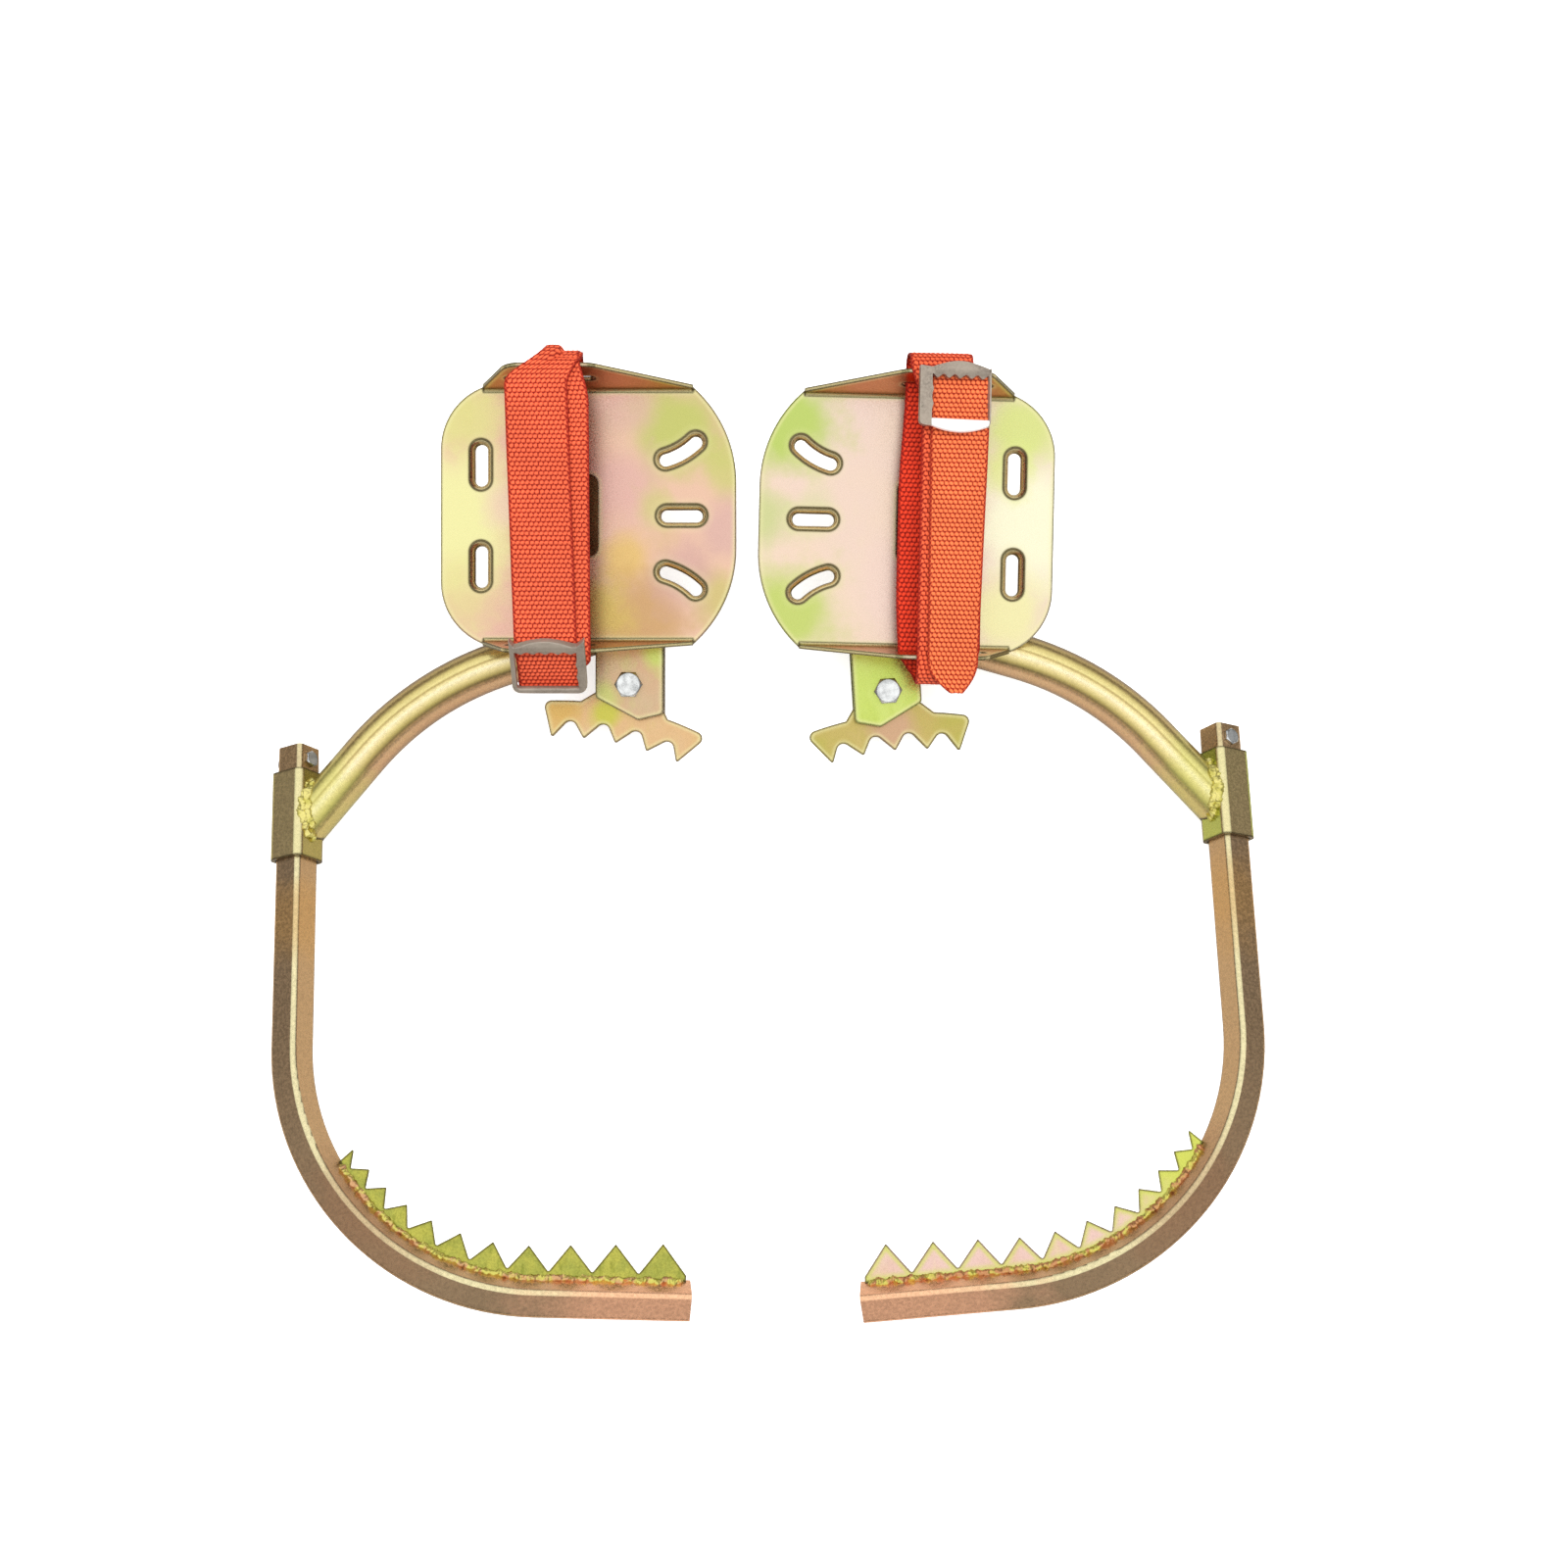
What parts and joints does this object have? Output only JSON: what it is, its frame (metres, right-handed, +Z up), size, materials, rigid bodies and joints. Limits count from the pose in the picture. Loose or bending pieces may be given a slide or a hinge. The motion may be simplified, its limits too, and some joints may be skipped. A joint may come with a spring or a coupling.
{
  "type": "tree climbing spikes",
  "caption": "Hook-type tree climbing irons: strapped foot plate on a bent arm, a toothed square-tube hook that slides in a sleeve, and a pivoting toothed jaw that grips the trunk.",
  "frame": {"origin": "on the floor, under the middle of the pair's box as it lies at rest", "axes": "+X from the left iron to the right iron, +Y from the hooks towards the foot plates, +Z up"},
  "size_m": [0.6446, 0.6036, 0.1525],
  "materials": {
    "plated_sheet": "yellow zinc plated",
    "plated_tube": "yellow zinc plated",
    "hook_steel": "yellow zinc plated, mottled",
    "tooth_steel": "yellow zinc plated, flame cut",
    "bright_zinc": "bright zinc plated",
    "webbing": "woven webbing",
    "cast_buckle": "dull grey die casting"
  },
  "bodies": {
    "left_frame": {"left_arm_tube": "plated_tube", "left_buckle_bar": "cast_buckle", "left_buckle_frame": "cast_buckle", "left_foot_plate": "plated_sheet", "left_front_cheek": "plated_sheet", "left_pivot_bolt": "bright_zinc", "left_pivot_nut": "bright_zinc", "left_pivot_washer": "bright_zinc", "left_rear_cheek": "plated_sheet", "left_sleeve": "plated_tube", "left_strap": "webbing", "left_window_backing": "plated_sheet"},
    "left_hook": {"left_hook_bar": "hook_steel", "left_hook_tooth_strip": "tooth_steel", "left_stop_bolt": "bright_zinc", "left_stop_nut": "bright_zinc"},
    "left_jaw": {"left_jaw": "tooth_steel", "left_pivot_bush": "bright_zinc"},
    "right_frame": {"right_arm_tube": "plated_tube", "right_buckle_bar": "cast_buckle", "right_buckle_frame": "cast_buckle", "right_foot_plate": "plated_sheet", "right_front_cheek": "plated_sheet", "right_pivot_bolt": "bright_zinc", "right_pivot_nut": "bright_zinc", "right_pivot_washer": "bright_zinc", "right_rear_cheek": "plated_sheet", "right_sleeve": "plated_tube", "right_strap": "webbing", "right_strap_tail": "webbing", "right_window_backing": "plated_sheet"},
    "right_hook": {"right_hook_bar": "hook_steel", "right_hook_tooth_strip": "tooth_steel", "right_stop_bolt": "bright_zinc", "right_stop_nut": "bright_zinc"},
    "right_jaw": {"right_jaw": "tooth_steel", "right_pivot_bush": "bright_zinc"}
  },
  "joints": [
    {"name": "left_hook_slide", "type": "slide", "parent": "left_frame", "child": "left_hook", "axis": [-0.0508, 0.9941, -0.0954], "range_m": [-0.0025, 0.11]},
    {"name": "left_jaw_swing", "type": "hinge", "parent": "left_frame", "child": "left_jaw", "pos_m": [-0.08598, 0.10538, 0.03898], "axis": [0, -0.2367, 0.9716], "range_deg": [-19, 19]},
    {"name": "right_hook_slide", "type": "slide", "parent": "right_frame", "child": "right_hook", "axis": [-0.01, 0.9954, -0.0954], "range_m": [-0.0025, 0.11]},
    {"name": "right_jaw_swing", "type": "hinge", "parent": "right_frame", "child": "right_jaw", "pos_m": [0.08273, 0.10145, 0.0378], "axis": [0.0145, -0.2363, 0.9716], "range_deg": [-9.7, 28.3]},
    {"name": "right_iron_apart", "type": "slide", "parent": "left_frame", "child": "right_frame", "axis": [1, 0, 0], "range_m": [0, 0.3]}
  ]
}
